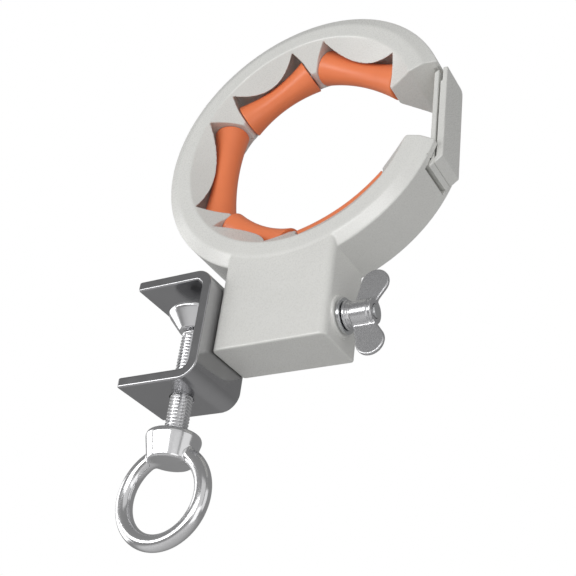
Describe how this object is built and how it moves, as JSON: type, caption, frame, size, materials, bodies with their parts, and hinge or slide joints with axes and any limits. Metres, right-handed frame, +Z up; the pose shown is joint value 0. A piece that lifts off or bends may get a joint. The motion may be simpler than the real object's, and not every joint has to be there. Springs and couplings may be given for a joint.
{
  "type": "cable guide ring on a screw clamp",
  "caption": "C-shaped guide ring with hourglass rollers and a spring side gate, on a block that swivels on a screw clamp bracket tightened by an eye bolt.",
  "frame": {"origin": "centre of the clamp's fixed jaw face, on the underside of the bracket's upper arm", "axes": "+Z up along the clamp screw, +X from the clamp's open side towards the ring's side gate, +Y along the ring's axis towards the rear cover"},
  "size_m": [0.1393, 0.0381, 0.2573],
  "materials": {
    "shell_plastic": "fine moulded satin, warm light grey",
    "roller_plastic": "smooth orange plastic, soft gloss",
    "screw_steel": "bright zinc-plated steel",
    "bracket_steel": "polished stainless strip that reflects its surroundings",
    "polished_steel": "polished stainless steel",
    "wing_steel": "satin stainless steel"
  },
  "bodies": {
    "bracket": {"clamp_bracket": "bracket_steel", "pivot_bolt": "screw_steel"},
    "ring": {"ring_body": "shell_plastic", "rear_cover": "shell_plastic", "cover_screw_1": "screw_steel", "cover_screw_2": "screw_steel", "cover_screw_3": "screw_steel", "cover_screw_4": "screw_steel", "cover_screw_5": "screw_steel", "cover_screw_6": "screw_steel", "roller_pin_1": "screw_steel", "roller_pin_2": "screw_steel", "roller_pin_3": "screw_steel", "roller_pin_4": "screw_steel", "roller_pin_5": "screw_steel", "gate_hinge_pin": "screw_steel", "gate_spring": "screw_steel", "pivot_bush": "screw_steel"},
    "roller_1": {"roller_1": "roller_plastic"},
    "roller_2": {"roller_2": "roller_plastic"},
    "roller_3": {"roller_3": "roller_plastic"},
    "roller_4": {"roller_4": "roller_plastic"},
    "roller_5": {"roller_5": "roller_plastic"},
    "gate": {"gate_outer_leaf": "shell_plastic", "gate_inner_leaf": "shell_plastic", "gate_rivet_1": "screw_steel", "gate_rivet_2": "screw_steel"},
    "pivot_washer": {"pivot_washer": "screw_steel"},
    "wing_nut": {"wing_nut": "wing_steel"},
    "pressure_pad": {"pressure_pad": "polished_steel", "pad_clip": "screw_steel"},
    "eye_bolt": {"eye_bolt": "polished_steel"}
  },
  "joints": [
    {"name": "ring_tilt", "type": "hinge", "parent": "bracket", "child": "ring", "pos_m": [0.05, 0.00205, -0.0187], "axis": [1, 0, 0], "range_deg": [-90, 90]},
    {"name": "roller_1_spin", "type": "hinge", "parent": "ring", "child": "roller_1", "pos_m": [0.07329, 0.00565, 0.11587], "axis": [-0.8704, 0, 0.4924], "continuous": true},
    {"name": "roller_2_spin", "type": "hinge", "parent": "ring", "child": "roller_2", "pos_m": [0.02689, 0.00565, 0.11597], "axis": [-0.8725, 0, -0.4886], "continuous": true},
    {"name": "roller_3_spin", "type": "hinge", "parent": "ring", "child": "roller_3", "pos_m": [0.00273, 0.00565, 0.07305], "axis": [0.0349, 0, -0.9994], "continuous": true},
    {"name": "roller_4_spin", "type": "hinge", "parent": "ring", "child": "roller_4", "pos_m": [0.02871, 0.00565, 0.03246], "axis": [0.893, 0, -0.4501], "continuous": true},
    {"name": "roller_5_spin", "type": "hinge", "parent": "ring", "child": "roller_5", "pos_m": [0.07365, 0.00565, 0.03374], "axis": [0.866, 0, 0.5], "continuous": true},
    {"name": "gate_swing", "type": "hinge", "parent": "ring", "child": "gate", "pos_m": [0.1125, 0.00565, 0.0477], "axis": [0, 1, 0], "range_deg": [0, 80], "stiffness_Nm_per_rad": 0.01, "springref_deg": -85.94},
    {"name": "washer_slide", "type": "slide", "parent": "bracket", "child": "pivot_washer", "axis": [1, 0, 0], "range_m": [0, 0.00399]},
    {"name": "wing_nut_turn", "type": "hinge", "parent": "pivot_washer", "child": "wing_nut", "pos_m": [0.09, 0.00205, -0.0187], "axis": [1, 0, 0], "range_deg": [0, 1440]},
    {"name": "pad_slide", "type": "slide", "parent": "bracket", "child": "pressure_pad", "axis": [0, 0, 1], "range_m": [-0.0241, 0.0046]},
    {"name": "screw_turn", "type": "hinge", "parent": "pressure_pad", "child": "eye_bolt", "pos_m": [0.0057, 0, -0.0553], "axis": [0, 0, 1], "range_deg": [-5760, 1080]}
  ],
  "couplings": [
    {"joint": "wing_nut_turn", "follows": "washer_slide", "rad_per_m": 6283.2},
    {"joint": "pad_slide", "follows": "screw_turn", "m_per_rad": 0.00023873}
  ]
}
